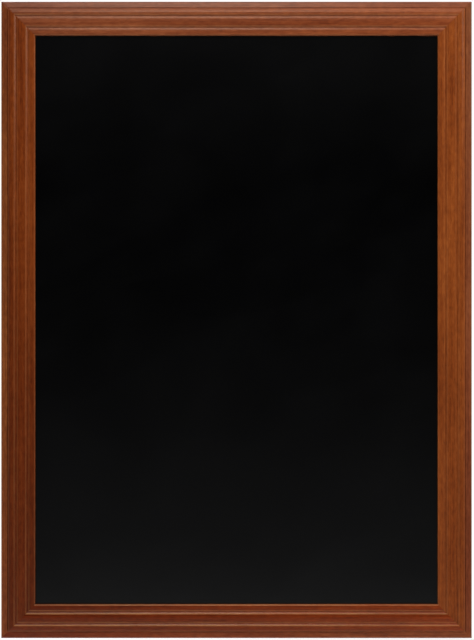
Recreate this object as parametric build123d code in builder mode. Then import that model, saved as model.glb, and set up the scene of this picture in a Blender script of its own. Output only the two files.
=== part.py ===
from build123d import *
from math import acos, asin, atan2, degrees, hypot
import os

# Wall chalkboard: a black writing panel held in a mitred frame of stepped hardwood moulding.
# It hangs upright: X runs along its width, Z is up, and the writing face looks towards -Y.
# The origin is the middle of the board on the wall, in the plane that the rubber pads touch.
# All sizes are in millimetres.

# Opening that the frame leaves for the panel at the back
opening_width = 500.0
opening_height = 700.0

# Moulding section, measured inwards from the outer edge and forwards from the back
moulding_width = 41.5
moulding_depth = 16.0
lip_width = 8.5
lip_edge_height = 9.6
lip_crown_height = 11.2
lip_roll_radius = 2.5
quirk_width = 1.2
quirk_depth = 0.8
bead_width = 7.9
bead_rise = 2.2
bead_rise_run = 3.9
bead_round_radius = 9.0
inner_band_width = 11.4
groove_depth = 1.4
groove_wall_run = 1.9
band_rise = 0.8
band_rise_run = 1.8
band_round_radius = 2.5
shoulder_radius = 1.2
arris_radius = 0.5
root_radius = 0.3
sight_roll_radius = 2.0
back_edge_break = 0.6

# Rebate that takes the panel
rebate_width = 8.0
rebate_depth = 9.0

# Writing panel
laminate_thickness = 0.6
core_thickness = 2.8
panel_clearance = 0.5

# Steel points that hold the panel in the rebate
point_width = 6.0
point_gauge = 0.4
point_bite = 9.0
point_reach = 8.0
point_taper = 3.0
points_per_rail = 4
points_per_stile = 6
point_corner_space = 70.0

# V-shaped steel wedges driven into each mitre from the back
wedge_leg_run = 3.6
wedge_leg_spread = 3.6
wedge_gauge = 0.6
wedge_depth = 9.0
outer_wedge_place = 10.0
inner_wedge_place = 24.0

# Rubber wall pads
pad_diameter = 12.0
pad_height = 4.0
pad_edge_break = 0.8
pad_from_side = 50.0

# Hangers: a folded strap, its captive wire ring and two screws
ring_wire_diameter = 2.0
ring_width = 17.0
ring_length = 19.0
ring_corner_radius = 2.5
flats_per_ring_wire = 10
ring_play = 0.08
ring_rest_gap = 0.2
strap_gauge = 0.7
strap_layer_gap = 0.1
strap_width = 10.0
strap_length = 32.0
strap_fold_length = 4.4
strap_fold_radius = 1.5
strap_corner_radius = 3.0
strap_hole_clearance = 0.2
hanger_drop = 83.0
screw_shank_diameter = 3.0
screw_length = 10.5
screw_tip_length = 2.5
screw_head_diameter = 6.0
screw_head_height = 1.8
screw_head_rim = 0.8
screw_head_flat = 3.8
screw_recess_width = 0.8
screw_recess_span = 3.4
screw_recess_depth = 1.0
upper_screw_place = 7.9
lower_screw_from_end = 7.0

# Places worked out from the sizes above
front = Vector(0, -1, 0)
back_land = moulding_width - rebate_width
half_width = opening_width / 2 + back_land
half_height = opening_height / 2 + back_land
frame_back = -pad_height
panel_width = opening_width - 2 * panel_clearance
panel_height = opening_height - 2 * panel_clearance
screw_places = (upper_screw_place, strap_length - lower_screw_from_end)
core_front_height = rebate_depth - laminate_thickness
core_back_height = core_front_height - core_thickness
panel_back_height = core_back_height - laminate_thickness
ring_wire_radius = ring_wire_diameter / 2
loop_bore_radius = ring_wire_radius + ring_play
loop_mid_radius = loop_bore_radius + strap_gauge / 2
loop_radius = loop_bore_radius + strap_gauge
strap_thickness = 2 * strap_gauge + strap_layer_gap
ring_rest_rise = strap_thickness + ring_rest_gap + ring_wire_radius - loop_radius
ring_rest_tilt = asin(ring_rest_rise / ring_length)
ring_raised_drop = loop_radius - ring_wire_radius - ring_rest_gap
ring_swing = 180 - degrees(ring_rest_tilt) + degrees(asin(ring_raised_drop / ring_length))
hanger_x = half_width - back_land / 2
hanger_z = half_height - hanger_drop

# Section of the moulding: outer lip, raised bead, wide band and inner band, stepping down inwards
bead_end = lip_width + bead_width
bead_root = bead_end + groove_wall_run
band_end = moulding_width - inner_band_width
band_root = band_end + groove_wall_run
band_height = moulding_depth - groove_depth + band_rise
inner_height = band_height - groove_depth + band_rise
lip_corner = (0, lip_edge_height)
lip_crown = (lip_width - quirk_width, lip_crown_height)
lip_root = (lip_width, lip_crown_height - quirk_depth)
bead_foot = (lip_width, moulding_depth - bead_rise)
bead_corner = (lip_width + bead_rise_run, moulding_depth)
bead_shoulder = (bead_end, moulding_depth)
bead_groove = (bead_root, moulding_depth - groove_depth)
band_corner = (bead_root + band_rise_run, band_height)
band_shoulder = (band_end, band_height)
band_groove = (band_root, band_height - groove_depth)
inner_corner = (band_root + band_rise_run, inner_height)
sight_corner = (moulding_width, inner_height)
rounded_corners = (
    (lip_corner, lip_roll_radius),
    (lip_crown, arris_radius),
    (lip_root, root_radius),
    (bead_foot, arris_radius),
    (bead_corner, bead_round_radius),
    (bead_shoulder, shoulder_radius),
    (bead_groove, root_radius),
    (band_corner, band_round_radius),
    (band_shoulder, shoulder_radius),
    (band_groove, root_radius),
    (inner_corner, band_round_radius),
    (sight_corner, sight_roll_radius),
)
with BuildSketch() as moulding_section:
    with BuildLine():
        Polyline(
            (back_edge_break, 0),
            (0, back_edge_break),
            lip_corner,
            lip_crown,
            lip_root,
            bead_foot,
            bead_corner,
            bead_shoulder,
            bead_groove,
            band_corner,
            band_shoulder,
            band_groove,
            inner_corner,
            sight_corner,
            (moulding_width, rebate_depth),
            (back_land, rebate_depth),
            (back_land, 0),
            close=True,
        )
    make_face()
    for corner, radius in rounded_corners:
        fillet(vertices().sort_by_distance(corner)[0], radius=radius)


def side_plane(outward, half_span):
    # Plane across one side of the frame: its x runs inwards and its y towards the front.
    inward = outward * -1
    foot = outward * half_span - front * frame_back
    return Plane(origin=foot, x_dir=inward, z_dir=inward.cross(front))


def frame_side(name, outward, half_length, half_span, fasteners):
    # One length of moulding, sawn at 45 degrees at both ends and slotted for its fasteners.
    across = side_plane(outward, half_span)
    with BuildPart() as side:
        with BuildSketch(across):
            add(moulding_section.sketch)
        extrude(amount=half_length, both=True)
        for end in (across.z_dir, across.z_dir * -1):
            saw = Plane(origin=across.origin + end * half_length, z_dir=across.x_dir + end)
            split(bisect_by=saw, keep=Keep.BOTTOM)
        for fastener in fasteners:
            add(fastener, mode=Mode.SUBTRACT)
    side.part.label = name
    return side.part


def corner_wedges(name, corner_x, corner_z):
    # Two V-shaped wedges across one mitre, flush with the back of the frame.
    corner = Plane(
        origin=(corner_x * half_width, frame_back, corner_z * half_height),
        x_dir=(-corner_x, 0, -corner_z),
        z_dir=front,
    )
    with BuildPart() as wedges:
        with BuildSketch(corner):
            with Locations((outer_wedge_place * 2**0.5, 0), (inner_wedge_place * 2**0.5, 0)):
                Polygon(
                    (0, 0),
                    (wedge_leg_run, wedge_leg_spread),
                    (wedge_leg_run + wedge_gauge, wedge_leg_spread),
                    (wedge_gauge, 0),
                    (wedge_leg_run + wedge_gauge, -wedge_leg_spread),
                    (wedge_leg_run, -wedge_leg_spread),
                    align=None,
                )
        extrude(amount=wedge_depth)
    wedges.part.label = name
    return wedges.part


def panel_points():
    # Flat pointed tabs along all four sides: half in the wood, half over the back of the panel.
    sides = (
        (Vector(0, 0, 1), half_height, half_width, points_per_rail),
        (Vector(0, 0, -1), half_height, half_width, points_per_rail),
        (Vector(1, 0, 0), half_width, half_height, points_per_stile),
        (Vector(-1, 0, 0), half_width, half_height, points_per_stile),
    )
    tip = back_land - point_bite
    with BuildPart() as points:
        for outward, half_span, half_length, count in sides:
            across = side_plane(outward, half_span)
            panel_back = Plane(
                origin=across.origin + front * panel_back_height,
                x_dir=across.x_dir,
                z_dir=front * -1,
            )
            pitch = 2 * (half_length - point_corner_space) / (count - 1)
            with BuildSketch(panel_back):
                with GridLocations(0, pitch, 1, count):
                    Polygon(
                        (tip, 0),
                        (tip + point_taper, point_width / 2),
                        (back_land + point_reach, point_width / 2),
                        (back_land + point_reach, -point_width / 2),
                        (tip + point_taper, -point_width / 2),
                        align=None,
                    )
            extrude(amount=point_gauge)
    points.part.label = "framing_points"
    return points.part


def panel_layer(name, thickness, front_height):
    # One sheet of the writing panel, with its front face at front_height above the frame's back.
    face = Plane(origin=front * (front_height - frame_back), x_dir=(1, 0, 0), z_dir=front * -1)
    with BuildPart() as layer:
        with BuildSketch(face):
            Rectangle(panel_width, panel_height)
        extrude(amount=thickness)
    layer.part.label = name
    return layer.part


def hanger_strap(name, x):
    # Strip folded back on itself round the ring's bar, both layers lying flat on the stile.
    lower_mid = strap_gauge / 2
    upper_mid = strap_thickness - strap_gauge / 2
    fold_drop = loop_radius - upper_mid
    leave_angle = degrees(
        acos(loop_mid_radius / hypot(strap_fold_length, fold_drop))
        - atan2(fold_drop, strap_fold_length)
    )
    section = Plane(origin=(x, frame_back, hanger_z), x_dir=(0, 0, -1), z_dir=(1, 0, 0))
    with BuildPart() as strap:
        with BuildSketch(section):
            with BuildLine():
                lower = Line((strap_length, lower_mid), (0, lower_mid))
                loop = CenterArc(
                    (0, loop_radius),
                    loop_mid_radius,
                    leave_angle,
                    270 - leave_angle,
                )
                fold = Line(loop @ 0, (strap_fold_length, upper_mid))
                Line(fold @ 1, (strap_length, upper_mid))
                fillet(vertices().sort_by_distance(fold @ 1)[0], radius=strap_fold_radius)
            trace(line_width=strap_gauge)
        extrude(amount=strap_width / 2, both=True)
        fillet(edges().filter_by(Axis.Y).group_by(Axis.Z)[0], radius=strap_corner_radius)
        with Locations(*[screw_seat(x, place) for place in screw_places]):
            Hole(radius=screw_shank_diameter / 2 + strap_hole_clearance)
    strap.part.label = name
    return strap.part


def screw_seat(x, place):
    # Plane on top of the strap where a screw's head sits, with its normal away from the frame.
    return Plane(
        origin=(x, frame_back + strap_thickness, hanger_z - place),
        x_dir=(1, 0, 0),
        z_dir=(0, 1, 0),
    )


def hanger_screws(name, x):
    # Two pan-head wood screws through the strap into the stile.
    head_radius = screw_head_diameter / 2
    shank_radius = screw_shank_diameter / 2
    with BuildPart() as screws:
        for place in screw_places:
            seat = screw_seat(x, place)
            with BuildSketch(Plane(origin=seat.origin, x_dir=(1, 0, 0), z_dir=(0, 0, 1))):
                with BuildLine():
                    Polyline(
                        (0, screw_head_height),
                        (screw_head_flat / 2, screw_head_height),
                        (head_radius, screw_head_rim),
                        (head_radius, 0),
                        (shank_radius, 0),
                        (shank_radius, screw_tip_length - screw_length - strap_thickness),
                        (0, -screw_length - strap_thickness),
                        close=True,
                    )
                make_face()
            revolve(axis=Axis(seat.origin, (0, 1, 0)))
            recess_floor = seat.offset(screw_head_height - screw_recess_depth)
            with BuildSketch(recess_floor):
                Rectangle(screw_recess_span, screw_recess_width)
                Rectangle(screw_recess_width, screw_recess_span)
            extrude(amount=screw_recess_depth, mode=Mode.SUBTRACT)
    screws.part.label = name
    return screws.part


def hanger_ring(name, x):
    # D-shaped wire ring captive in the strap's fold, hanging down so that its bow rests on the strap.
    # The round wire is drawn with narrow flats, which keeps its bends light.
    half_ring = ring_width / 2
    axis_point = Vector(x, frame_back + loop_radius, hanger_z)
    hanging = Plane(
        origin=axis_point,
        x_dir=(1, 0, 0),
        z_dir=Vector(0, 1, 0).rotate(Axis.X, degrees(ring_rest_tilt)),
    )
    with BuildPart() as ring:
        with BuildLine(hanging) as path:
            bar = Line((ring_corner_radius - half_ring, 0), (half_ring - ring_corner_radius, 0))
            first_corner = JernArc(bar @ 1, bar % 1, ring_corner_radius, 90)
            first_side = Line(first_corner @ 1, (half_ring, ring_length - half_ring))
            bow = JernArc(first_side @ 1, first_side % 1, half_ring, 180)
            second_side = Line(bow @ 1, (-half_ring, ring_corner_radius))
            JernArc(second_side @ 1, second_side % 1, ring_corner_radius, 90)
        with BuildSketch(Plane(origin=path.line @ 0, z_dir=path.line % 0)):
            RegularPolygon(ring_wire_radius, flats_per_ring_wire)
        sweep()
    ring.part.label = name
    return ring.part


def wall_pad(name, x):
    # Round rubber pad stuck to the back of the bottom rail.
    seat = Plane(
        origin=(x, frame_back, back_land / 2 - half_height),
        x_dir=(1, 0, 0),
        z_dir=(0, 1, 0),
    )
    with BuildPart() as pad:
        with BuildSketch(seat):
            Circle(pad_diameter / 2)
        extrude(amount=pad_height)
        chamfer(edges().sort_by(Axis.Y)[-1], length=pad_edge_break)
    pad.part.label = name
    return pad.part


wedge_corners = {
    "corner_wedges_top_left": (-1, 1),
    "corner_wedges_top_right": (1, 1),
    "corner_wedges_bottom_left": (-1, -1),
    "corner_wedges_bottom_right": (1, -1),
}
wedges = {name: corner_wedges(name, *corner) for name, corner in wedge_corners.items()}
points = panel_points()
screws = {
    "hanger_screws_left": hanger_screws("hanger_screws_left", -hanger_x),
    "hanger_screws_right": hanger_screws("hanger_screws_right", hanger_x),
}
fasteners = [points, *wedges.values(), *screws.values()]

pieces = [
    frame_side("top_rail", Vector(0, 0, 1), half_width, half_height, fasteners),
    frame_side("bottom_rail", Vector(0, 0, -1), half_width, half_height, fasteners),
    frame_side("left_stile", Vector(-1, 0, 0), half_height, half_width, fasteners),
    frame_side("right_stile", Vector(1, 0, 0), half_height, half_width, fasteners),
    panel_layer("writing_surface", laminate_thickness, rebate_depth),
    panel_layer("panel_core", core_thickness, core_front_height),
    panel_layer("panel_backing", laminate_thickness, core_back_height),
    hanger_strap("hanger_strap_left", -hanger_x),
    hanger_strap("hanger_strap_right", hanger_x),
    hanger_ring("hanger_ring_left", -hanger_x),
    hanger_ring("hanger_ring_right", hanger_x),
    wall_pad("wall_pad_left", pad_from_side - half_width),
    wall_pad("wall_pad_right", half_width - pad_from_side),
    *fasteners,
]

os.makedirs("parts", exist_ok=True)
for piece in pieces:
    export_step(piece, f"parts/{piece.label}.step")

print(f"panel {panel_width:.1f} x {panel_height:.1f}")
print(f"ring rests {degrees(ring_rest_tilt):.2f} degrees off the vertical and swings {ring_swing:.1f} degrees")
print(f"ring axis at x {hanger_x:.2f}, y {frame_back + loop_radius:.2f}, z {hanger_z:.2f}")
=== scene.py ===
import math

import bmesh
import bpy
from mathutils import Matrix, Vector


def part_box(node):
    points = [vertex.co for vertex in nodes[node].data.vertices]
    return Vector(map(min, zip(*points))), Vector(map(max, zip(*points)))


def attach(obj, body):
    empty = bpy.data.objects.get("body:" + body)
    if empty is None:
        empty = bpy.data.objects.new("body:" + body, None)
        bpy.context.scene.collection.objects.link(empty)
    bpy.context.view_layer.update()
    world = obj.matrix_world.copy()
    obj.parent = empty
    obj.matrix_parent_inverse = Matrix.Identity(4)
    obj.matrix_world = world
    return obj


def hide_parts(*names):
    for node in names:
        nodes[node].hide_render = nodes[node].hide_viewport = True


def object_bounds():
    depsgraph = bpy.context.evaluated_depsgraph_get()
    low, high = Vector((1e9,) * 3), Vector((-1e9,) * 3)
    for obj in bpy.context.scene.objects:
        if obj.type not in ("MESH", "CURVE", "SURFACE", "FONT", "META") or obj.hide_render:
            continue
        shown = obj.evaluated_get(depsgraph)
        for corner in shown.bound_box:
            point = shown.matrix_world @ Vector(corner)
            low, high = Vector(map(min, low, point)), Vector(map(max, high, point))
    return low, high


# Wall chalkboard: stepped red-brown moulding round a matt black panel, hung by two D-rings.
# Everything is in metres in the part's own frame: the writing face looks along -Y, Z is up.

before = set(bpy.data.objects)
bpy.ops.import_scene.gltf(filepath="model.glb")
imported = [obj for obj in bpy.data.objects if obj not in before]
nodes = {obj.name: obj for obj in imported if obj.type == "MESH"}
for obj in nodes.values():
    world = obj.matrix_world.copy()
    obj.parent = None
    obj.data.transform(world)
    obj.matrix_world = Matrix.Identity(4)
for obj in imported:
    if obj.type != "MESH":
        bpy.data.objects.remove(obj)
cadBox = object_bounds()
mm = 0.001
weld = 1e-6  # points nearer to each other than this are merged
quarter = math.pi / 2
topLow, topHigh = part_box("top_rail")
halfWidth = topHigh.x
halfHeight = topHigh.z
backPlane = topHigh.y
mouldingDepth = topHigh.y - topLow.y
mouldingWidth = topHigh.z - topLow.z
print("part loaded:", len(nodes), "nodes")

# Sizes of the moulding's section, inwards from the outer edge and forwards from the back
moulding = {
    "lipWidth": 8.8 * mm, "beadWidth": 7.5 * mm, "innerBandWidth": 11.3 * mm,
    "lipEdgeHeight": 9.6 * mm, "lipCrownHeight": 11.2 * mm,
    "quirkWidth": 1.2 * mm, "quirkDepth": 0.6 * mm,
    "beadRise": 2.2 * mm, "beadRiseRun": 3.6 * mm,
    "grooveDepth": 1.4 * mm, "grooveWallRun": 2.1 * mm,
    "bandRise": 0.7 * mm, "bandRiseRun": 2.4 * mm, "bandCrown": 0.4 * mm, "crownRound": 30.0 * mm,
    "rebateWidth": 8.0 * mm, "rebateDepth": 9.0 * mm,
    "lipRoll": 2.5 * mm, "beadRound": 9.0 * mm, "bandRound": 8.0 * mm, "sightRoll": 2.3 * mm,
    "shoulder": 1.2 * mm, "root": 0.3 * mm, "arris": 0.5 * mm, "edgeSoftness": 0.12 * mm,
    "fewestChords": 4, "arcStep": 6, "easedFrom": 38, "smoothTo": 20,  # the last three in degrees
}
beadEnd = moulding["lipWidth"] + moulding["beadWidth"]
bandEnd = mouldingWidth - moulding["innerBandWidth"]


# Small helpers that the pieces share

def addObject(name, data):
    added = bpy.data.objects.new(name, data)
    bpy.context.scene.collection.objects.link(added)
    return added


def addModifier(holder, kind, **settings):
    modifier = holder.modifiers.new(kind.lower(), kind)
    for key, value in settings.items():
        setattr(modifier, key, value)
    return modifier


def plainMesh(holder):
    # Keeps what the modifiers make of the holder's mesh, and removes the holder.
    bpy.context.view_layer.update()
    shaped = holder.evaluated_get(bpy.context.evaluated_depsgraph_get())
    mesh = bpy.data.meshes.new_from_object(shaped)
    bpy.data.objects.remove(holder)
    return mesh


def meshOf(name, work):
    mesh = bpy.data.meshes.new(name)
    work.to_mesh(mesh)
    work.free()
    return mesh


def wire(tree, node, wires):
    # Each socket gets a link from an output, or from a node's first output, or else a plain value.
    for socket, value in wires.items():
        if isinstance(value, bpy.types.Node):
            value = value.outputs[0]
        if isinstance(value, bpy.types.NodeSocket):
            tree.links.new(value, node.inputs[socket])
        else:
            node.inputs[socket].default_value = value


def addNode(tree, kind, wires=None, **settings):
    node = tree.nodes.new(kind)
    for key, value in settings.items():
        setattr(node, key, value)
    wire(tree, node, wires or {})
    return node


def mathNode(tree, operation, first, second=0.0, third=0.0):
    node = addNode(tree, "ShaderNodeMath", {0: first, 1: second, 2: third}, operation=operation)
    return node.outputs[0]


def vectorOf(tree, x=0.0, y=0.0, z=0.0):
    return addNode(tree, "ShaderNodeCombineXYZ", {0: x, 1: y, 2: z})


def newTree(name, *inputs):
    # Each input is its label, the end of its socket type's name and the value it starts with.
    tree = bpy.data.node_groups.new(name, "GeometryNodeTree")
    face = tree.interface
    face.new_socket("Geometry", in_out="INPUT", socket_type="NodeSocketGeometry")
    for label, kind, value in inputs:
        socket = face.new_socket(label, in_out="INPUT", socket_type="NodeSocket" + kind)
        socket.default_value = value
    face.new_socket("Material", in_out="INPUT", socket_type="NodeSocketMaterial")
    face.new_socket("Geometry", in_out="OUTPUT", socket_type="NodeSocketGeometry")
    return tree, addNode(tree, "NodeGroupInput").outputs


def closeTree(tree, given, shaped):
    real = addNode(tree, "GeometryNodeRealizeInstances", {0: shaped})
    coloured = addNode(tree, "GeometryNodeSetMaterial", {
        "Geometry": real, "Material": given["Material"],
    })
    addNode(tree, "NodeGroupOutput", {0: coloured})
    return tree


def setInputs(modifier, values):
    for item in modifier.node_group.interface.items_tree:
        if item.item_type == "SOCKET" and item.in_out == "INPUT" and item.name in values:
            modifier[item.identifier] = values[item.name]


def settle(name, seedMesh, tree, values, finisher=None):
    # Runs the tree, and a finishing modifier, on a seed mesh and keeps the plain result.
    holder = addObject(name + "Seed", seedMesh)
    setInputs(addModifier(holder, "NODES", node_group=tree), values)
    if finisher:
        addModifier(holder, **finisher)
    mesh = plainMesh(holder)
    mesh.name = name
    return addObject(name, mesh)


def smoothByAngle(mesh, degrees):
    mesh.shade_smooth()
    mesh.set_sharp_from_angle(angle=math.radians(degrees))


def dress(piece, body, stoodFor, material):
    piece.data.materials.clear()
    piece.data.materials.append(material)
    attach(piece, body)
    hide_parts(*stoodFor)


# Materials: in their values a noise is scale, detail, roughness and distortion, a range is from
# low to high and what these two become, and a bump is strength and distance

def newMaterial(name):
    material = bpy.data.materials.new(name)
    material.use_nodes = True
    tree = material.node_tree
    tree.nodes.clear()
    shader = addNode(tree, "ShaderNodeBsdfPrincipled")
    addNode(tree, "ShaderNodeOutputMaterial", {0: shader})
    return material, tree, shader


def objectPlace(tree, shift=(0, 0, 0), turn=(0, 0, 0), stretch=(1, 1, 1)):
    turned = addNode(tree, "ShaderNodeMapping", {
        "Vector": addNode(tree, "ShaderNodeTexCoord").outputs["Object"], "Rotation": turn,
    })
    return addNode(tree, "ShaderNodeMapping", {
        "Vector": turned, "Location": shift, "Scale": stretch,
    }).outputs[0]


def noise(tree, place, scale, detail=2.0, roughness=0.5, distortion=0.0):
    return addNode(tree, "ShaderNodeTexNoise", {
        "Vector": place, "Scale": scale, "Detail": detail, "Roughness": roughness,
        "Distortion": distortion,
    }).outputs["Fac"]


def spread(tree, value, low, high, toLow=0.0, toHigh=1.0):
    return addNode(tree, "ShaderNodeMapRange", {
        "Value": value, "From Min": low, "From Max": high, "To Min": toLow, "To Max": toHigh,
    }).outputs[0]


def weighted(tree, layers, shares):
    total = 0.0
    for key, share in shares.items():
        total = mathNode(tree, "MULTIPLY_ADD", layers[key], share, total)
    return total


def mixColour(tree, factor, first, second, blend="MIX"):
    wires = {0: factor}
    for index, value in ((6, first), (7, second)):  # the node's sockets for its two colours
        wires[index] = value if isinstance(value, bpy.types.NodeSocket) else (*value, 1)
    node = addNode(tree, "ShaderNodeMix", wires, data_type="RGBA", blend_type=blend)
    return node.outputs[2]


def bump(tree, height, strength, distance, under=None):
    wires = {"Height": height, "Strength": strength, "Distance": distance}
    if under is not None:
        wires["Normal"] = under
    return addNode(tree, "ShaderNodeBump", wires).outputs[0]


# Layers of the wood's grain: how short each one is along the stick, where 1 is as short as
# across it, and then its noise
woodGrain = {
    "broad": (0.12, 42, 2, 0.5), "streaks": (0.018, 620, 4, 0.62, 0.25),
    "fine": (0.03, 2600, 3, 0.6), "marks": (0.36, 310, 2, 0.5, 0.3),
    "pores": (0.055, 3400, 1, 0.4), "patches": (0.25, 95, 3, 0.6), "peel": (0.4, 900, 2),
}
woodFinish = {
    "deep": (0.130, 0.0205, 0.0026), "warm": (0.228, 0.043, 0.0048),
    "light": (0.335, 0.073, 0.0085), "pore": (0.05, 0.008, 0.002),
    "figure": {"broad": 0.5, "streaks": 0.62, "fine": 0.10, "marks": 0.46},
    "figureRange": (0.58, 1.10), "poreRange": (0.63, 0.72), "poreShare": 0.55,
    "lipFade": 0.6 * mm,
    # Colour, reach and places of the painted highlights along the raised edges and step feet
    "edgeHighlight": (0.50, 0.235, 0.085), "highlightReach": 1.0 * mm, "highlightCore": 0.3 * mm,
    "patchRange": (0.3, 0.62, 0.45, 1.0), "sightLine": 0.8 * mm, "sightShare": 0.8,
    "quirkLine": 0.3 * mm, "footLine": 3.75 * mm, "footReach": 0.75 * mm,
    "rawLight": (0.62, 0.42, 0.24), "rawDark": (0.43, 0.26, 0.13),
    "rawFigure": {"fine": 0.4, "streaks": 0.7}, "rawRange": (0.35, 0.75), "rawPores": 0.4,
    "stainWrap": 1.5 * mm, "stainWander": 1.6 * mm, "wander": (60, 4, 0.6), "wrapFade": 0.9 * mm,
    "backFade": (0.3 * mm, 0.15 * mm), "rebateFade": 0.1 * mm, "inwardFade": (-0.1, -0.15),
    "roughRange": (0.3, 0.7, 0.19, 0.32), "rawRough": 0.5,
    "specular": 0.165, "specularTint": (1.0, 0.66, 0.40), "coat": 0.09, "coatRoughness": 0.21,
    "peelBump": (0.12, 0.2 * mm), "grainBump": (0.25, 0.1 * mm),
    "mitreSoftness": 1.8 * mm, "mitreDrop": 0.16, "mitreFade": 1.5 * mm,
}


def frameReach(tree):
    # How far in from the frame's outer edge a point lies, how far off the mitres, and its Y.
    place = addNode(tree, "ShaderNodeTexCoord").outputs["Object"]
    split = addNode(tree, "ShaderNodeSeparateXYZ", {0: place})
    fromSide = mathNode(tree, "SUBTRACT", halfWidth, mathNode(tree, "ABSOLUTE", split.outputs["X"]))
    fromEnd = mathNode(tree, "SUBTRACT", halfHeight, mathNode(tree, "ABSOLUTE", split.outputs["Z"]))
    inward = mathNode(tree, "MINIMUM", fromSide, fromEnd)
    offMitre = mathNode(tree, "ABSOLUTE", mathNode(tree, "SUBTRACT", fromSide, fromEnd))
    return inward, offMitre, split.outputs["Y"]


def paintedHighlightLines(tree, inward, crests, feet):
    # Painted highlights: the stain is made lighter along the moulding's raised edges and the sight
    # edge, and a little along the foot of each step, where light catches.
    w = woodFinish
    lines = (
        (beadEnd, w["highlightReach"], crests), (bandEnd, w["highlightReach"], crests),
        (mouldingWidth - w["sightLine"], w["highlightReach"], w["sightShare"] * crests),
        (moulding["lipWidth"] + w["quirkLine"], w["footReach"], feet),
        (beadEnd + w["footLine"], w["footReach"], feet),
        (bandEnd + w["footLine"], w["footReach"], feet),
    )
    total = 0.0
    for middle, reach, share in lines:
        away = mathNode(tree, "ABSOLUTE", mathNode(tree, "SUBTRACT", inward, middle))
        line = spread(tree, away, reach, w["highlightCore"], 0.0, share)
        total = mathNode(tree, "MAXIMUM", total, line)
    return total


def softMitre(tree, inward, offMitre):
    # The lip and the bead were sanded over a little where two lengths meet.
    w = woodFinish
    near = mathNode(tree, "SUBTRACT", w["mitreSoftness"], offMitre)
    near = mathNode(tree, "MAXIMUM", near, 0.0)
    square = mathNode(tree, "MULTIPLY", near, near)
    drop = mathNode(tree, "MULTIPLY", square, -w["mitreDrop"] / w["mitreSoftness"])
    beadCorner = moulding["lipWidth"] + moulding["beadRiseRun"]
    outside = spread(tree, inward, beadCorner + w["mitreFade"], beadCorner)
    return mathNode(tree, "MULTIPLY", drop, outside)


def bareWood(tree, inward, depth):
    # The stain was put on the face and the outer edge. It crept a little way round onto the back,
    # and the rest of the back and the rebate behind the panel stayed bare.
    w = woodFinish
    coords = addNode(tree, "ShaderNodeTexCoord")
    wander = noise(tree, coords.outputs["Object"], *w["wander"])
    reached = mathNode(tree, "MULTIPLY_ADD", wander, -w["stainWander"], inward)
    stainEnd = w["stainWrap"] - w["stainWander"] / 2
    clear = spread(tree, reached, stainEnd, stainEnd + w["wrapFade"])
    back = spread(tree, depth, *(backPlane - fade for fade in w["backFade"]))
    flat = addNode(tree, "ShaderNodeVectorMath", {
        0: coords.outputs["Object"], 1: (1, 0, 1),
    }, operation="MULTIPLY")
    facing = addNode(tree, "ShaderNodeVectorMath", {
        0: flat, 1: coords.outputs["Normal"],
    }, operation="DOT_PRODUCT")
    lookingIn = spread(tree, facing.outputs["Value"], *w["inwardFade"])
    rebate = backPlane - moulding["rebateDepth"]
    behind = spread(tree, depth, rebate - w["rebateFade"], rebate)
    onBack = mathNode(tree, "MULTIPLY", back, clear)
    return mathNode(tree, "MAXIMUM", onBack, mathNode(tree, "MULTIPLY", lookingIn, behind))


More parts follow.
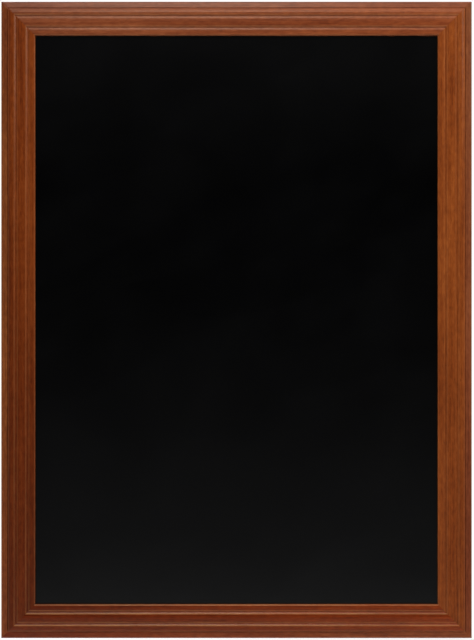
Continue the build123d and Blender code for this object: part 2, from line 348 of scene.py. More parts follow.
def stainedWood(name, upright, shift, shadedTones, edgeHighlight, foot, lip):
    # Shift gives each stick its own figure. Its stain colour goes from the first tone to the second
    # along the stick, from its left or lower end; these tones also hold painted shade, darker
    # towards that end and on the sides that get less light. The outer lip gets its own painted
    # light and shade on top. The edge highlight and foot strengths set the painted highlights on
    # its arrises and on the feet of its steps.
    w = woodFinish
    turn = (0, quarter, 0) if upright else (0, 0, 0)
    material, tree, shader = newMaterial(name)
    inward, offMitre, depth = frameReach(tree)
    grain = {}
    for layer, (shortness, *values) in woodGrain.items():
        place = objectPlace(tree, shift, turn, (shortness, 1, 1))
        grain[layer] = noise(tree, place, *values)

    figure = spread(tree, weighted(tree, grain, w["figure"]), *w["figureRange"])
    ramp = addNode(tree, "ShaderNodeValToRGB", {"Fac": figure})
    stops = ramp.color_ramp.elements
    stops[0].color = (*w["deep"], 1)
    stops[1].color = (*w["light"], 1)
    stops.new(0.5).color = (*w["warm"], 1)

    place = addNode(tree, "ShaderNodeTexCoord").outputs["Object"]
    split = addNode(tree, "ShaderNodeSeparateXYZ", {0: place})
    along, half = (split.outputs["Z"], halfHeight) if upright else (split.outputs["X"], halfWidth)
    share = spread(tree, along, -half, half)
    quirk = moulding["lipWidth"] - moulding["quirkWidth"]
    onLip = spread(tree, inward, quirk, quirk + w["lipFade"], 1.0, 0.0)
    # Painted shade: the stain's tone darkens towards the stick's lower or left end
    shadedTone = mixColour(tree, share, *shadedTones)
    # Painted light and shade on the outer lip, changing along the stick
    shadedTone = mixColour(tree, onLip, shadedTone, mixColour(tree, share, *lip), "MULTIPLY")
    stainWithPaintedLight = mixColour(tree, 1.0, ramp.outputs[0], shadedTone, "MULTIPLY")
    patchy = spread(tree, grain["patches"], *w["patchRange"])
    # Painted highlights along the raised edges and step feet, broken up in patches
    worn = mathNode(tree, "MULTIPLY", paintedHighlightLines(tree, inward, edgeHighlight, foot), patchy)
    stainWithPaintedLight = mixColour(tree, worn, stainWithPaintedLight, w["edgeHighlight"])
    pores = spread(tree, grain["pores"], *w["poreRange"])
    stainWithPaintedLight = mixColour(tree, mathNode(tree, "MULTIPLY", pores, w["poreShare"]), stainWithPaintedLight, w["pore"])

    rawFigure = spread(tree, weighted(tree, grain, w["rawFigure"]), *w["rawRange"])
    raw = mixColour(tree, rawFigure, w["rawLight"], w["rawDark"])
    raw = mixColour(tree, mathNode(tree, "MULTIPLY", pores, w["rawPores"]), raw, w["rawDark"])
    bare = bareWood(tree, inward, depth)
    rough = spread(tree, grain["fine"], *w["roughRange"])

    mitreDip = bump(tree, softMitre(tree, inward, offMitre), 1.0, 1.0)
    lacquer = bump(tree, grain["peel"], *w["peelBump"], mitreDip)
    relief = mathNode(tree, "SUBTRACT", grain["fine"], pores)
    wire(tree, shader, {
        "Base Color": mixColour(tree, bare, stainWithPaintedLight, raw),
        "Roughness": mathNode(tree, "MULTIPLY_ADD", bare, w["rawRough"], rough),
        "Specular IOR Level": w["specular"], "Specular Tint": (*w["specularTint"], 1),
        "Coat Weight": w["coat"], "Coat Roughness": w["coatRoughness"],
        "Normal": bump(tree, relief, *w["grainBump"], lacquer), "Coat Normal": lacquer,
    })
    return material


boardFinish = {
    "black": (0.0001, 0.0001, 0.0002), "worn": (0.0005, 0.0005, 0.0006),
    "chalk": (0.0011, 0.0011, 0.0012), "pit": (0.0001, 0.0001, 0.0001),
    "clouds": (9, 3, 0.55), "orangePeel": (900, 2, 0.55), "speckle": (2400, 2, 0.6),
    "wiped": (22, 5, 0.65, 0.8), "wipeTurn": (0, 0.35, 0), "wipeStretch": (0.3, 1, 1),
    "wornRange": (0.35, 0.75), "hazeRange": (0.45, 0.85, 0.0, 0.5), "pitRange": (0.62, 0.75),
    "roughness": 0.11, "cloudRough": 0.12, "hazeRough": 0.03, "specular": 0.25,
    "gritBump": (0.3, 0.08 * mm), "peelBump": (0.16, 0.2 * mm),
}


def writingBlack():
    b = boardFinish
    material, tree, shader = newMaterial("writingBlack")
    place = objectPlace(tree)
    wipes = objectPlace(tree, turn=b["wipeTurn"], stretch=b["wipeStretch"])
    clouds = noise(tree, place, *b["clouds"])
    speckle = noise(tree, place, *b["speckle"])
    haze = spread(tree, noise(tree, wipes, *b["wiped"]), *b["hazeRange"])
    base = mixColour(tree, spread(tree, clouds, *b["wornRange"]), b["black"], b["worn"])
    base = mixColour(tree, haze, base, b["chalk"])
    base = mixColour(tree, spread(tree, speckle, *b["pitRange"]), base, b["pit"])
    rough = mathNode(tree, "MULTIPLY_ADD", clouds, b["cloudRough"], b["roughness"])
    grit = bump(tree, speckle, *b["gritBump"])
    wire(tree, shader, {
        "Base Color": base,
        "Roughness": mathNode(tree, "MULTIPLY_ADD", haze, b["hazeRough"], rough),
        "Specular IOR Level": b["specular"],
        "Normal": bump(tree, noise(tree, place, *b["orangePeel"]), *b["peelBump"], grit),
    })
    return material


coreFinish = {
    "light": (0.30, 0.17, 0.085), "dark": (0.16, 0.085, 0.04), "roughness": 0.85,
    "fibres": (1500, 4, 0.7), "clumps": (160, 2), "mottle": {"clumps": 0.4, "fibres": 0.6},
    "mottleRange": (0.3, 0.7), "bump": (0.4, 0.2 * mm),
}


def fibreboard():
    c = coreFinish
    material, tree, shader = newMaterial("fibreboard")
    place = objectPlace(tree)
    layers = {key: noise(tree, place, *c[key]) for key in c["mottle"]}
    mottle = spread(tree, weighted(tree, layers, c["mottle"]), *c["mottleRange"])
    wire(tree, shader, {
        "Base Color": mixColour(tree, mottle, c["light"], c["dark"]),
        "Roughness": c["roughness"], "Normal": bump(tree, layers["fibres"], *c["bump"]),
    })
    return material


paperFinish = {
    "paper": (0.36, 0.235, 0.135), "fleck": (0.25, 0.155, 0.085), "cloud": (0.29, 0.175, 0.09),
    "fibre": (0.16, 0.095, 0.05), "roughness": 0.72,
    "flecks": (1100, 3, 0.65), "clouds": (12, 3, 0.5), "fibres": (1600, 2),
    "fibreStretch": (1, 1, 0.15), "fleckRange": (0.3, 0.72), "cloudRange": (0.4, 0.7, 0, 0.35),
    "fibreRange": (0.64, 0.72, 0, 0.5), "bump": (0.2, 0.1 * mm),
}


def backingPaper():
    p = paperFinish
    material, tree, shader = newMaterial("backingPaper")
    place = objectPlace(tree)
    flecks = noise(tree, place, *p["flecks"])
    clouds = noise(tree, place, *p["clouds"])
    fibres = noise(tree, objectPlace(tree, stretch=p["fibreStretch"]), *p["fibres"])
    colour = mixColour(tree, spread(tree, flecks, *p["fleckRange"]), p["paper"], p["fleck"])
    colour = mixColour(tree, spread(tree, clouds, *p["cloudRange"]), colour, p["cloud"])
    colour = mixColour(tree, spread(tree, fibres, *p["fibreRange"]), colour, p["fibre"])
    wire(tree, shader, {
        "Base Color": colour, "Roughness": p["roughness"],
        "Normal": bump(tree, flecks, *p["bump"]),
    })
    return material


steelFinish = {
    "bloom": (420, 3, 0.6), "bloomRange": (0.35, 0.7), "bloomRough": 0.18,
    "scratches": (5200, 2), "scratchStretch": (1, 1, 0.06), "scratchBump": (0.12, 0.05 * mm),
}


def steel(name, pale, dull, roughness):
    s = steelFinish
    material, tree, shader = newMaterial(name)
    bloom = noise(tree, objectPlace(tree), *s["bloom"])
    scratches = noise(tree, objectPlace(tree, stretch=s["scratchStretch"]), *s["scratches"])
    wire(tree, shader, {
        "Base Color": mixColour(tree, spread(tree, bloom, *s["bloomRange"]), pale, dull),
        "Metallic": 1,
        "Roughness": mathNode(tree, "MULTIPLY_ADD", bloom, s["bloomRough"], roughness),
        "Normal": bump(tree, scratches, *s["scratchBump"]),
    })
    return material


rubberFinish = {
    "black": (0.022, 0.022, 0.023), "dusty": (0.05, 0.048, 0.046),
    "grain": (3800, 2, 0.6), "dust": (260, 3, 0.6), "dustRange": (0.4, 0.9),
    "roughness": 0.68, "specular": 0.35, "bump": (0.3, 0.1 * mm),
}


def padRubber():
    r = rubberFinish
    material, tree, shader = newMaterial("padRubber")
    place = objectPlace(tree)
    dust = spread(tree, noise(tree, place, *r["dust"]), *r["dustRange"])
    wire(tree, shader, {
        "Base Color": mixColour(tree, dust, r["black"], r["dusty"]),
        "Roughness": r["roughness"], "Specular IOR Level": r["specular"],
        "Normal": bump(tree, noise(tree, place, *r["grain"]), *r["bump"]),
    })
    return material


# Per stick: tones are stain colours with painted shade (darker at the lower or left end, and where
# less light falls), lip colours paint light and shade on the outer lip, and the two strengths set
# the painted highlights on arrises and step feet
sticks = {
    "top_rail": {
        "name": "woodTopRail", "upright": False, "shift": (0.31, 0.02, 0.11),
        "shadedTones": ((0.72, 0.93, 3.0), (0.91, 1.08, 2.8)), "edgeHighlight": 0.18, "foot": 0.0,
        "lip": ((0.93, 0.94, 1.25), (0.84, 0.82, 0.92)),
    },
    "bottom_rail": {
        "name": "woodBottomRail", "upright": False, "shift": (1.7, 0.31, 0.43),
        "shadedTones": ((0.46, 0.29, 0.45), (0.76, 0.56, 0.8)), "edgeHighlight": 0.46, "foot": 0.25,
        "lip": ((1.55, 1.85, 2.60), (1.38, 2.35, 4.60)),
    },
    "left_stile": {
        "name": "woodLeftStile", "upright": True, "shift": (0.9, 0.53, 0.27),
        "shadedTones": ((0.385, 0.30, 0.6), (0.765, 0.77, 1.1)), "edgeHighlight": 0.13, "foot": 0.12,
        "lip": ((2.30, 3.80, 5.00), (1.00, 1.28, 2.20)),
    },
    "right_stile": {
        "name": "woodRightStile", "upright": True, "shift": (2.6, 0.74, 0.66),
        "shadedTones": ((0.755, 0.82, 1.4), (0.97, 1.14, 1.8)), "edgeHighlight": 0.1, "foot": 0.08,
        "lip": ((0.92, 1.00, 1.90), (0.87, 1.12, 2.10)),
    },
}
wood = {node: stainedWood(**stick) for node, stick in sticks.items()}
plate = steel("zincPlate", pale=(0.68, 0.675, 0.65), dull=(0.50, 0.495, 0.475), roughness=0.25)
strip = steel("steelStrip", pale=(0.50, 0.51, 0.54), dull=(0.33, 0.34, 0.37), roughness=0.33)
black = writingBlack()
rubber = padRubber()
print("materials made")


# Moulding: the section is drawn once, and a tree runs it along each side and mitres it

def roundedOutline(corners, stepDegrees, fewestChords):
    # Corners are (inward, height, radius). Each one with a radius becomes an arc of short chords.
    outline = []
    for index, (u, v, radius) in enumerate(corners):
        here = Vector((u, v))
        if radius == 0:
            outline.append(here)
            continue
        before = Vector(corners[index - 1][:2])
        after = Vector(corners[(index + 1) % len(corners)][:2])
        toBefore = (before - here).normalized()
        toAfter = (after - here).normalized()
        opening = toBefore.angle(toAfter)
        reach = radius / math.tan(opening / 2)
        centre = here + (toBefore + toAfter).normalized() * (radius / math.sin(opening / 2))
        start = here + toBefore * reach - centre
        sweep = start.angle_signed(here + toAfter * reach - centre)
        chords = max(fewestChords, math.ceil(abs(math.degrees(sweep)) / stepDegrees))
        for chord in range(chords + 1):
            angle = -sweep * chord / chords
            outline.append(centre + Matrix.Rotation(angle, 2) @ start)
    return outline


def mouldingSection(depth, width):
    m = moulding
    beadCorner = m["lipWidth"] + m["beadRiseRun"]
    bandHeight = depth - m["grooveDepth"] + m["bandRise"]
    innerHeight = bandHeight - m["grooveDepth"] + m["bandRise"]
    bandStart = beadEnd + m["grooveWallRun"] + m["bandRiseRun"]
    corners = [
        (0, 0, m["arris"]),
        (0, m["lipEdgeHeight"], m["lipRoll"]),
        (m["lipWidth"] - m["quirkWidth"], m["lipCrownHeight"], m["arris"]),
        (m["lipWidth"], m["lipCrownHeight"] - m["quirkDepth"], m["root"]),
        (m["lipWidth"], depth - m["beadRise"], m["arris"]),
        (beadCorner, depth, m["beadRound"]),
        (beadEnd, depth, m["shoulder"]),
        (beadEnd + m["grooveWallRun"], depth - m["grooveDepth"], m["root"]),
        (bandStart, bandHeight, m["bandRound"]),
        ((bandStart + bandEnd) / 2, bandHeight + m["bandCrown"], m["crownRound"]),
        (bandEnd, bandHeight, m["shoulder"]),
        (bandEnd + m["grooveWallRun"], bandHeight - m["grooveDepth"], m["root"]),
        (bandEnd + m["grooveWallRun"] + m["bandRiseRun"], innerHeight, m["bandRound"]),
        (width, innerHeight, m["sightRoll"]),
        (width, m["rebateDepth"], 0),
        (width - m["rebateWidth"], m["rebateDepth"], 0),
        (width - m["rebateWidth"], 0, 0),
    ]
    return roundedOutline(corners, m["arcStep"], m["fewestChords"])


def sectionMesh(outline):
    sheet = bmesh.new()
    sheet.faces.new([sheet.verts.new((0, point.y, -point.x)) for point in reversed(outline)])
    return meshOf("mouldingSection", sheet)


def mitreTree():
    # The section faces +X with its width along -Z. It runs along its normal, and both ends are
    # mitred. Its depth then turns round to face -Y, which mirrors it, so the faces are flipped
    # back outwards.
    tree, given = newTree(
        "mitredLength", ("Half Length", "Float", 0.3), ("Half Span", "Float", 0.4),
        ("Back", "Float", 0.0), ("Turn", "Float", 0.0),
    )
    far = addNode(tree, "GeometryNodeExtrudeMesh", {
        "Mesh": given["Geometry"], "Offset Scale": 1.0, "Individual": False,
    }, mode="FACES")
    near = addNode(tree, "GeometryNodeFlipFaces", {0: given["Geometry"]})
    both = addNode(tree, "GeometryNodeJoinGeometry")
    tree.links.new(near.outputs[0], both.inputs[0])
    tree.links.new(far.outputs[0], both.inputs[0])
    closed = addNode(tree, "GeometryNodeMergeByDistance", {0: both, "Distance": weld})
    position = addNode(tree, "GeometryNodeInputPosition")
    place = addNode(tree, "ShaderNodeSeparateXYZ", {0: position}).outputs
    side = mathNode(tree, "MULTIPLY_ADD", place["X"], 2.0, -1.0)  # -1 at the near end, 1 at the far
    reach = mathNode(tree, "ADD", given["Half Length"], place["Z"])
    spot = vectorOf(
        tree, mathNode(tree, "MULTIPLY", side, reach),
        mathNode(tree, "SUBTRACT", given["Back"], place["Y"]),
        mathNode(tree, "ADD", given["Half Span"], place["Z"]),
    )
    cut = addNode(tree, "GeometryNodeSetPosition", {"Geometry": closed, "Position": spot})
    outward = addNode(tree, "GeometryNodeFlipFaces", {0: cut})
    turned = addNode(tree, "GeometryNodeTransform", {
        "Geometry": outward, "Rotation": vectorOf(tree, y=given["Turn"]),
    })
    return closeTree(tree, given, turned)


section = sectionMesh(mouldingSection(mouldingDepth, mouldingWidth))
mitre = mitreTree()
sides = {
    "top_rail": ("topRail", halfWidth, halfHeight, 0.0),
    "right_stile": ("rightStile", halfHeight, halfWidth, quarter),
    "bottom_rail": ("bottomRail", halfWidth, halfHeight, 2 * quarter),
    "left_stile": ("leftStile", halfHeight, halfWidth, 3 * quarter),
}
softEdge = {
    "kind": "BEVEL", "width": moulding["edgeSoftness"], "segments": 1, "limit_method": "ANGLE",
    "angle_limit": math.radians(moulding["easedFrom"]),
}
for node, (name, halfLength, halfSpan, turn) in sides.items():
    rail = settle(name, section.copy(), mitre, {
        "Half Length": halfLength, "Half Span": halfSpan, "Back": backPlane, "Turn": turn,
        "Material": wood[node],
    }, softEdge)
    smoothByAngle(rail.data, moulding["smoothTo"])
    dress(rail, "root", [node], wood[node])
    print(name, "made with", len(rail.data.polygons), "faces")


# Panel: the solids are right as they are and take their finishes

def coat(node, material):
    slots = nodes[node].data.materials
    slots.clear()
    slots.append(material)


coat("writing_surface", black)
coat("panel_core", fibreboard())
coat("panel_backing", backingPaper())
print("panel dressed")


# Flat steel points: one tab is cut, and a tree deals it out along the four sides of the rebate

tab = {
    "width": 6.0 * mm, "gauge": 0.4 * mm, "bite": 9.0 * mm, "reach": 8.0 * mm, "taper": 3.0 * mm,
    "perRail": 4, "perStile": 6, "cornerSpace": 70.0 * mm, "noseRound": 1.4 * mm, "noseSteps": 6,
    "seed": 4, "wobble": 1.3, "smoothTo": 20,  # the last two in degrees
}
stripEdge = {"kind": "BEVEL", "width": 0.06 * mm, "segments": 2, "limit_method": "ANGLE"}


def plateMesh(name, outline, thickness):
    # A flat outline in X and Z gets its thickness towards the wall.
    work = bmesh.new()
    front = work.faces.new([work.verts.new((x, 0, z)) for x, z in outline])
    front.normal_update()
    if front.normal.y > 0:
        front.normal_flip()
    grown = bmesh.ops.extrude_face_region(work, geom=[front], use_keep_orig=True)
    moved = [part for part in grown["geom"] if isinstance(part, bmesh.types.BMVert)]
    bmesh.ops.translate(work, verts=moved, vec=(0, thickness, 0))
    bmesh.ops.recalc_face_normals(work, faces=work.faces)
    return meshOf(name, work)


def tabMesh():
    half = tab["width"] / 2
    shape = [(0, tab["bite"]), (half, tab["bite"] - tab["taper"])]
    for step in range(tab["noseSteps"] + 1):
        angle = quarter * step / tab["noseSteps"]
        shape.append((
            half - tab["noseRound"] * (1 - math.cos(angle)),
            -tab["reach"] + tab["noseRound"] * (1 - math.sin(angle)),
        ))
    shape += [(-x, z) for x, z in reversed(shape[1:])]
    return plateMesh("tab", shape, tab["gauge"])


def dealTree():
    tree, given = newTree(
        "pointsRoundTheRebate", ("Per Rail", "Int", 4), ("Per Stile", "Int", 6),
        ("Half Width", "Float", 0.3), ("Half Height", "Float", 0.4),
        ("Edge Inset", "Float", 0.03), ("Corner Space", "Float", 0.07),
        ("Seat", "Float", 0.0), ("Wobble", "Float", 0.0), ("Seed", "Int", 0),
    )
    joined = addNode(tree, "GeometryNodeJoinGeometry")
    for side in range(4):
        count, along, across = (
            ("Per Rail", "Half Width", "Half Height"), ("Per Stile", "Half Height", "Half Width"),
        )[side % 2]
        reach = mathNode(tree, "SUBTRACT", given[along], given["Corner Space"])
        height = mathNode(tree, "SUBTRACT", given[across], given["Edge Inset"])
        line = addNode(tree, "GeometryNodeMeshLine", {
            "Count": given[count],
            "Start Location": vectorOf(
                tree, mathNode(tree, "MULTIPLY", reach, -1.0), given["Seat"], height,
            ),
            "Offset": vectorOf(tree, reach, given["Seat"], height),
        }, mode="END_POINTS")
        tilt = addNode(tree, "FunctionNodeRandomValue", {
            "Min": (0, -1, 0), "Max": (0, 1, 0),
            "Seed": mathNode(tree, "ADD", given["Seed"], float(side)),
        }, data_type="FLOAT_VECTOR")
        swing = addNode(tree, "ShaderNodeVectorMath", {
            0: tilt, "Scale": given["Wobble"],
        }, operation="SCALE")
        dealt = addNode(tree, "GeometryNodeInstanceOnPoints", {
            "Points": line, "Instance": given["Geometry"], "Rotation": swing,
        })
        turned = addNode(tree, "GeometryNodeTransform", {
            "Geometry": dealt, "Rotation": (0, side * quarter, 0),
        })
        tree.links.new(turned.outputs[0], joined.inputs[0])
    return closeTree(tree, given, joined)


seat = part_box("framing_points")[0].y
points = settle("panelPoints", tabMesh(), dealTree(), {
    "Per Rail": tab["perRail"], "Per Stile": tab["perStile"],
    "Half Width": halfWidth, "Half Height": halfHeight,
    "Edge Inset": mouldingWidth - moulding["rebateWidth"], "Corner Space": tab["cornerSpace"],
    "Seat": seat, "Wobble": math.radians(tab["wobble"]), "Seed": tab["seed"], "Material": strip,
}, stripEdge)
smoothByAngle(points.data, tab["smoothTo"])
dress(points, "root", ["framing_points"], strip)
print("panel points dealt:", 2 * (tab["perRail"] + tab["perStile"]))


# Corner wedges: a folded V of strip, two across each mitre, driven a hair proud of the wood

wedge = {
    "legRun": 3.6 * mm, "legSpread": 3.6 * mm, "gauge": 0.6 * mm, "depth": 9.0 * mm,
    "places": (10.0 * mm, 24.0 * mm), "proud": 0.04 * mm, "smoothTo": 20,
}


def wedgeMesh():
    run, half, gauge = wedge["legRun"], wedge["legSpread"], wedge["gauge"]
    mesh = plateMesh("wedge", [
        (0, 0), (run, half), (run + gauge, half), (gauge, 0), (run + gauge, -half), (run, -half),
    ], wedge["depth"])
    mesh.transform(Matrix.Translation((0, wedge["proud"] - wedge["depth"], 0)))
    return mesh


def wedgeTree():
    tree, given = newTree(
        "wedgesAcrossTheMitre", ("Corner", "Vector", (0, 0, 0)), ("Turn", "Float", 0.0),
        ("Count", "Int", 2), ("First", "Float", 0.01), ("Last", "Float", 0.02),
    )
    row = addNode(tree, "GeometryNodeMeshLine", {
        "Count": given["Count"], "Start Location": vectorOf(tree, given["First"]),
        "Offset": vectorOf(tree, given["Last"]),
    }, mode="END_POINTS")
    driven = addNode(tree, "GeometryNodeInstanceOnPoints", {
        "Points": row, "Instance": given["Geometry"],
    })
    placed = addNode(tree, "GeometryNodeTransform", {
        "Geometry": driven, "Translation": given["Corner"],
        "Rotation": vectorOf(tree, y=given["Turn"]),
    })
    return closeTree(tree, given, placed)


acrossMitre = wedgeTree()
first, last = (place * math.sqrt(2) for place in wedge["places"])
for corner, (signX, signZ) in {
    "top_left": (-1, 1), "top_right": (1, 1), "bottom_left": (-1, -1), "bottom_right": (1, -1),
}.items():
    name = "wedges" + "".join(word.title() for word in corner.split("_"))
    pair = settle(name, wedgeMesh(), acrossMitre, {
        "Corner": (signX * halfWidth, backPlane, signZ * halfHeight),
        "Turn": math.atan2(signZ, -signX), "Count": len(wedge["places"]),
        "First": first, "Last": last, "Material": strip,
    }, stripEdge)
    smoothByAngle(pair.data, wedge["smoothTo"])
    dress(pair, "root", ["corner_wedges_" + corner], strip)
print("corner wedges driven")


# Hangers: folded strap, captive wire ring and two pan-head screws each

hanger = {
    "wire": 1.0 * mm, "ringWidth": 17.0 * mm, "ringLength": 19.0 * mm, "ringCorner": 2.5 * mm,
    "wireSides": 20, "cornerSteps": 7, "bowSteps": 28,
    "strapSoftness": 0.14 * mm, "strapThickness": 1.5 * mm,
    "headRadius": 3.0 * mm, "headHeight": 1.8 * mm, "headRim": 0.55 * mm, "headEdge": 0.06 * mm,
    "headSegments": 48, "domeSteps": 8, "domeWidening": 0.72, "domeRising": 0.8,
    "shank": 1.5 * mm, "core": 1.05 * mm, "length": 12.0 * mm, "plainShank": 2.2 * mm,
    "tip": 2.5 * mm, "pitch": 1.3 * mm, "rowsPerTurn": 6, "threadSteepness": 5,
    "recessSpan": 3.3 * mm, "recessWidth": 0.75 * mm, "recessDepth": 1.15 * mm,
    "recessFoot": (0.19, 0.30), "driverOver": 0.3 * mm,
    "screwCount": 2, "upperScrew": 7.9 * mm, "screwStep": 17.1 * mm,
    "seeds": {"left": 8, "right": 9},
    "strapFlatTo": 1, "strapEasedFrom": 40, "wireSmoothTo": 60, "screwSmoothTo": 32,  # degrees
}


def ringPath():
    # The wire's middle line at the joint: X along the bar, -Z towards the bow.
    h = hanger
    half, corner = h["ringWidth"] / 2, h["ringCorner"]
    bowCentre = h["ringLength"] - half
    path = [(x, 0.0) for x in (corner - half, 0.0, half - corner)]
    turns = [quarter * step / h["cornerSteps"] for step in range(h["cornerSteps"] + 1)]
    for angle in turns[1:]:
        path.append((half - corner + corner * math.sin(angle), corner - corner * math.cos(angle)))
    for step in range(h["bowSteps"] + 1):
        angle = math.pi * step / h["bowSteps"]
        path.append((half * math.cos(angle), bowCentre + half * math.sin(angle)))
    for angle in turns[:-1]:
        path.append((corner - half - corner * math.cos(angle), corner - corner * math.sin(angle)))
    mesh = bpy.data.meshes.new("ringPath")
    mesh.from_pydata(
        [(x, 0, -z) for x, z in path],
        [(index, (index + 1) % len(path)) for index in range(len(path))], [],
    )
    return mesh


def wireTree():
    tree, given = newTree(
        "bentWire", ("Wire", "Float", 0.001), ("Sides", "Int", 16),
        ("Axle", "Vector", (0, 0, 0)), ("Tilt", "Float", 0.0),
    )
    line = addNode(tree, "GeometryNodeMeshToCurve", {0: given["Geometry"]})
    rim = addNode(tree, "GeometryNodeCurvePrimitiveCircle", {
        "Resolution": given["Sides"], "Radius": given["Wire"],
    })
    tube = addNode(tree, "GeometryNodeCurveToMesh", {0: line, 1: rim})
    hung = addNode(tree, "GeometryNodeTransform", {
        "Geometry": tube, "Translation": given["Axle"], "Rotation": vectorOf(tree, given["Tilt"]),
    })
    return closeTree(tree, given, hung)


def ringOf(work, radii, height):
    # One ring of vertices about Y, with its own radius at each step.
    segments = len(radii)
    return [
        work.verts.new((
            radius * math.cos(math.tau * step / segments), height,
            radius * math.sin(math.tau * step / segments),
        )) for step, radius in enumerate(radii)
    ]


def skinned(name, work, rings):
    # Joins the rings one after the other; a ring of one vertex is a pole.
    segments = max(len(ring) for ring in rings)
    for lower, upper in zip(rings, rings[1:]):
        for step in range(segments):
            after = (step + 1) % segments
            if len(lower) == 1:
                work.faces.new((lower[0], upper[after], upper[step]))
            elif len(upper) == 1:
                work.faces.new((lower[step], lower[after], upper[0]))
            else:
                work.faces.new((lower[step], lower[after], upper[after], upper[step]))
    bmesh.ops.recalc_face_normals(work, faces=work.faces)
    return meshOf(name, work)


def turnedMesh(name, outline, segments):
    # Turns (radius, height) points about Y; a radius of nothing closes the form in a pole.
    work = bmesh.new()
    rings = [
        ringOf(work, [radius] * segments, height) if radius else [work.verts.new((0, height, 0))]
        for radius, height in outline
    ]
    return skinned(name, work, rings)


def screwMesh():
    # Seat at the origin, head towards +Y; the thread runs down the shank as a helix.
    h = hanger
    segments = h["headSegments"]
    dome = h["headHeight"] - h["headRim"]
    head = []
    for step in range(1, h["domeSteps"] + 1):
        angle = quarter * step / h["domeSteps"]
        head.append((
            h["headRadius"] * math.sin(angle) ** h["domeWidening"],
            h["headRim"] + dome * math.cos(angle) ** h["domeRising"],
        ))
    head += [
        (h["headRadius"], h["headEdge"]), (h["headRadius"] - h["headEdge"], 0.0),
        (h["shank"], 0.0), (h["shank"], -h["plainShank"]),
    ]
    work = bmesh.new()
    rings = [[work.verts.new((0, h["headHeight"], 0))]]
    rings += [ringOf(work, [radius] * segments, height) for radius, height in head]
    threaded = h["length"] - h["plainShank"]
    rows = math.floor(threaded / h["pitch"] * h["rowsPerTurn"])
    for row in range(1, rows + 1):
        height = -h["plainShank"] - row * threaded / (rows + 1)
        taper = min(1.0, (h["length"] + height) / h["tip"])
        radii = []
        for step in range(segments):
            phase = (height / h["pitch"] + step / segments) % 1.0
            crest = max(0.0, 1 - abs(phase - 0.5) * h["threadSteepness"])
            radii.append((h["core"] + (h["shank"] - h["core"]) * crest) * taper)
        rings.append(ringOf(work, radii, height))
    rings.append([work.verts.new((0, -h["length"], 0))])
    return skinned("screw", work, rings)


def driverMesh(turn):
    # One wing of the driver that presses the cross recess. It widens from its foot, whose half
    # length and half width are given as shares, to the head's top, and goes on a little over it.
    h = hanger
    top, deep = h["headHeight"] + h["driverOver"], h["headHeight"] - h["recessDepth"]
    footLong, footShort = h["recessFoot"]
    work = bmesh.new()
    ends = []
    for height, grow in ((deep, 0.0), (top, (top - deep) / h["recessDepth"])):
        long = h["recessSpan"] * (footLong + (0.5 - footLong) * grow)
        short = h["recessWidth"] * (footShort + (0.5 - footShort) * grow)
        ends.append([
            work.verts.new((x * long, height, z * short))
            for x, z in ((-1, -1), (1, -1), (1, 1), (-1, 1))
        ])
        work.faces.new(ends[-1])
    for step in range(4):
        after = (step + 1) % 4
        work.faces.new((ends[0][step], ends[0][after], ends[1][after], ends[1][step]))
    bmesh.ops.recalc_face_normals(work, faces=work.faces)
    mesh = meshOf("driver", work)
    mesh.transform(Matrix.Rotation(turn, 4, "Y"))
    return mesh


def pressedScrew():
    blank = addObject("screwBlank", screwMesh())
    drivers = [addObject("driver", driverMesh(turn)) for turn in (0.0, quarter)]
    for driver in drivers:
        addModifier(blank, "BOOLEAN", operation="DIFFERENCE", solver="EXACT", object=driver)
    mesh = plainMesh(blank)
    for driver in drivers:
        bpy.data.objects.remove(driver)
    work = bmesh.new()
    work.from_mesh(mesh)
    bmesh.ops.remove_doubles(work, verts=work.verts, dist=2 * weld)
    bmesh.ops.dissolve_degenerate(work, edges=work.edges, dist=weld)
    work.to_mesh(mesh)
    work.free()
    return mesh


def screwTree():
    tree, given = newTree(
        "screwRow", ("Count", "Int", 2), ("First", "Vector", (0, 0, 0)),
        ("Step", "Vector", (0, 0, -0.017)), ("Seed", "Int", 0),
    )
    row = addNode(tree, "GeometryNodeMeshLine", {
        "Count": given["Count"], "Start Location": given["First"], "Offset": given["Step"],
    }, mode="OFFSET")
    turned = addNode(tree, "FunctionNodeRandomValue", {
        "Min": (0, 0, 0), "Max": (0, math.pi, 0), "Seed": given["Seed"],
    }, data_type="FLOAT_VECTOR")
    driven = addNode(tree, "GeometryNodeInstanceOnPoints", {
        "Points": row, "Instance": given["Geometry"], "Rotation": turned,
    })
    return closeTree(tree, given, driven)


def softened(name, node):
    # A merged copy of a solid, with its edges eased.
    h = hanger
    mesh = nodes[node].data.copy()
    work = bmesh.new()
    work.from_mesh(mesh)
    bmesh.ops.remove_doubles(work, verts=work.verts, dist=weld)
    bmesh.ops.dissolve_limit(
        work, angle_limit=math.radians(h["strapFlatTo"]), verts=work.verts, edges=work.edges,
    )
    work.to_mesh(mesh)
    work.free()
    mesh.shade_smooth()
    holder = addObject(name + "Seed", mesh)
    addModifier(
        holder, "BEVEL", width=h["strapSoftness"], segments=2, limit_method="ANGLE",
        angle_limit=math.radians(h["strapEasedFrom"]),
    )
    addModifier(holder, "WEIGHTED_NORMAL")  # keeps the flats flat in the light
    return addObject(name, plainMesh(holder))


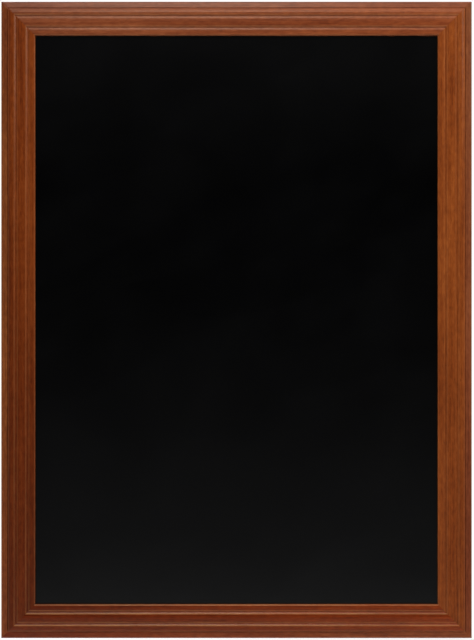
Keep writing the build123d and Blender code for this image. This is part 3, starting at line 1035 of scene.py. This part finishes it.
wireForm = wireTree()
screwForm = screwTree()
screw = pressedScrew()
for hand in ("left", "right"):
    side = hand.title()
    wireRadius = hanger["wire"]
    ringLow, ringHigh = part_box("hanger_ring_" + hand)
    axle = Vector(((ringLow.x + ringHigh.x) / 2, ringLow.y + wireRadius, ringHigh.z - wireRadius))
    rise = ringHigh.y - ringLow.y - 2 * wireRadius
    ring = settle("ring" + side, ringPath(), wireForm, {
        "Wire": wireRadius, "Sides": hanger["wireSides"], "Axle": axle,
        "Tilt": math.asin(rise / hanger["ringLength"]), "Material": plate,
    })
    smoothByAngle(ring.data, hanger["wireSmoothTo"])
    dress(ring, "ring_" + hand, ["hanger_ring_" + hand], plate)
    strap = softened("strap" + side, "hanger_strap_" + hand)
    dress(strap, "root", ["hanger_strap_" + hand], plate)
    screws = settle("screws" + side, screw.copy(), screwForm, {
        "Count": hanger["screwCount"], "Step": (0, 0, -hanger["screwStep"]),
        "First": (axle.x, backPlane + hanger["strapThickness"], axle.z - hanger["upperScrew"]),
        "Seed": hanger["seeds"][hand], "Material": plate,
    })
    smoothByAngle(screws.data, hanger["screwSmoothTo"])
    dress(screws, "root", ["hanger_screws_" + hand], plate)
    print(hand, "hanger made")


# Wall pads: moulded rubber buttons with a rounded rim and a shallow dish

pad = {
    "radius": 6.0 * mm, "height": 4.0 * mm, "rim": 0.9 * mm, "dish": 0.25 * mm, "foot": 0.25 * mm,
    "draft": 0.15 * mm, "segments": 64, "rimSteps": 8, "dishRings": 5, "smoothTo": 40,
}


def padMesh():
    p = pad
    outline = [(0.0, 0.0), (p["radius"] - p["foot"], 0.0), (p["radius"], p["foot"])]
    shoulder = p["radius"] - p["draft"] - p["rim"]
    for step in range(p["rimSteps"] + 1):
        angle = quarter * step / p["rimSteps"]
        outline.append((
            shoulder + p["rim"] * math.cos(angle),
            p["height"] - p["rim"] + p["rim"] * math.sin(angle),
        ))
    for step in range(1, p["dishRings"] + 1):
        drop = p["dish"] * math.sin(quarter * step / p["dishRings"])
        outline.append((shoulder * (1 - step / (p["dishRings"] + 1)), p["height"] - drop))
    outline.append((0.0, p["height"] - p["dish"]))
    return turnedMesh("pad", outline, p["segments"])


for hand in ("left", "right"):
    padLow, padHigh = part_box("wall_pad_" + hand)
    middle = (padLow + padHigh) / 2
    mesh = padMesh()
    mesh.transform(Matrix.Translation((middle.x, padLow.y, middle.z)))
    smoothByAngle(mesh, pad["smoothTo"])
    dress(addObject("pad" + hand.title(), mesh), "root", ["wall_pad_" + hand], rubber)
print("pads stuck on")


# Studio: pale floor, soft light from above and from the right, and a long lens square on

lamps = {
    "ceiling": {"place": (0.1, -0.5, 1.7), "aim": (0.1, -0.3, 0), "size": (1.6, 0.6), "power": 5},
    "overhead": {
        "place": (-0.06, -1.15, 1.4), "aim": (0, 0, 0.3), "size": (1.4, 0.7), "power": 9.5,
    },
    "key": {"place": (-0.06, -1.1, 1.35), "aim": (0, 0, 0.3), "size": (0.5, 0.7), "power": 6},
    "right": {"place": (1.4, -0.9, 0.9), "aim": (0, 0, 0), "size": (0.6, 0.9), "power": 10},
    "back": {"place": (-1.2, 2.0, 1.4), "aim": (0, 0, 0), "size": (1.6, 1.6), "power": 26},
}
# Bands of the surroundings' light: the axis, from where to where along it, and the level at both
sky = (
    ("Y", -0.6, -0.1, 0.01, 0.4), ("Z", 0.2, 0.9, 0.0, 0.3),
    ("Z", -0.01, -0.13, 0.0, 0.31), ("Z", 0.11, 0.19, 0.0, 0.25),
)
stage = {
    "drop": 0.25, "radius": 1.6, "segments": 96, "colour": (0.87, 0.87, 0.87),
    "roughness": 0.9, "specular": 0.1,
}
view = {
    "lens": 110.0, "sensor": 36.0, "farthest": 100,
    "imageSize": (474, 640), "boardPixels": 636.8, "centrePixel": (236.5, 319.9),
}


def areaLight(name, place, aim, size, power):
    light = bpy.data.lights.new(name, "AREA")
    light.shape = "RECTANGLE"
    light.size, light.size_y = size
    light.energy = power
    lamp = addObject(name, light)
    lamp.location = place
    lamp.rotation_euler = (Vector(aim) - Vector(place)).to_track_quat("-Z", "Y").to_euler()
    lamp.visible_camera = False


def studioWorld():
    world = bpy.data.worlds.new("studio")
    world.use_nodes = True
    tree = world.node_tree
    tree.nodes.clear()
    direction = addNode(tree, "ShaderNodeTexCoord").outputs["Generated"]
    split = addNode(tree, "ShaderNodeSeparateXYZ", {0: direction})
    level = 0.0
    for axis, *band in sky:
        level = mathNode(tree, "ADD", level, spread(tree, split.outputs[axis], *band))
    soft = addNode(tree, "ShaderNodeBackground", {"Color": level})
    white = addNode(tree, "ShaderNodeBackground", {"Color": (1, 1, 1, 1)})
    seen = addNode(tree, "ShaderNodeLightPath").outputs["Is Camera Ray"]
    both = addNode(tree, "ShaderNodeMixShader", {0: seen, 1: soft, 2: white})
    addNode(tree, "ShaderNodeOutputWorld", {0: both})
    bpy.context.scene.world = world


def paleFloor():
    disc = bmesh.new()
    bmesh.ops.create_circle(
        disc, cap_ends=True, segments=stage["segments"], radius=stage["radius"],
    )
    bmesh.ops.translate(disc, verts=disc.verts, vec=(0, 0, cadBox[0].z - stage["drop"]))
    material, tree, shader = newMaterial("paleFloor")
    wire(tree, shader, {
        "Base Color": (*stage["colour"], 1), "Roughness": stage["roughness"],
        "Specular IOR Level": stage["specular"],
    })
    mesh = meshOf("floor", disc)
    mesh.materials.append(material)
    floor = addObject("floor", mesh)


def squareCamera():
    (pixelsWide, pixelsHigh), (centreX, centreY) = view["imageSize"], view["centrePixel"]
    data = bpy.data.cameras.new("camera")
    data.lens = view["lens"]
    data.sensor_width = view["sensor"]
    data.clip_end = view["farthest"]
    data.shift_x = (pixelsWide / 2 - centreX) / pixelsHigh
    data.shift_y = (centreY - pixelsHigh / 2) / pixelsHigh
    viewHeight = 2 * halfHeight * pixelsHigh / view["boardPixels"]
    edgePlane = backPlane - moulding["lipEdgeHeight"]
    camera = addObject("camera", data)
    camera.location = (0, edgePlane - viewHeight * view["lens"] / view["sensor"], 0)
    camera.rotation_euler = (quarter, 0, 0)
    bpy.context.scene.camera = camera


for name, spec in lamps.items():
    areaLight(name + "Light", **spec)
studioWorld()
paleFloor()
squareCamera()
bpy.context.scene.view_settings.view_transform = "Standard"
print("studio set")
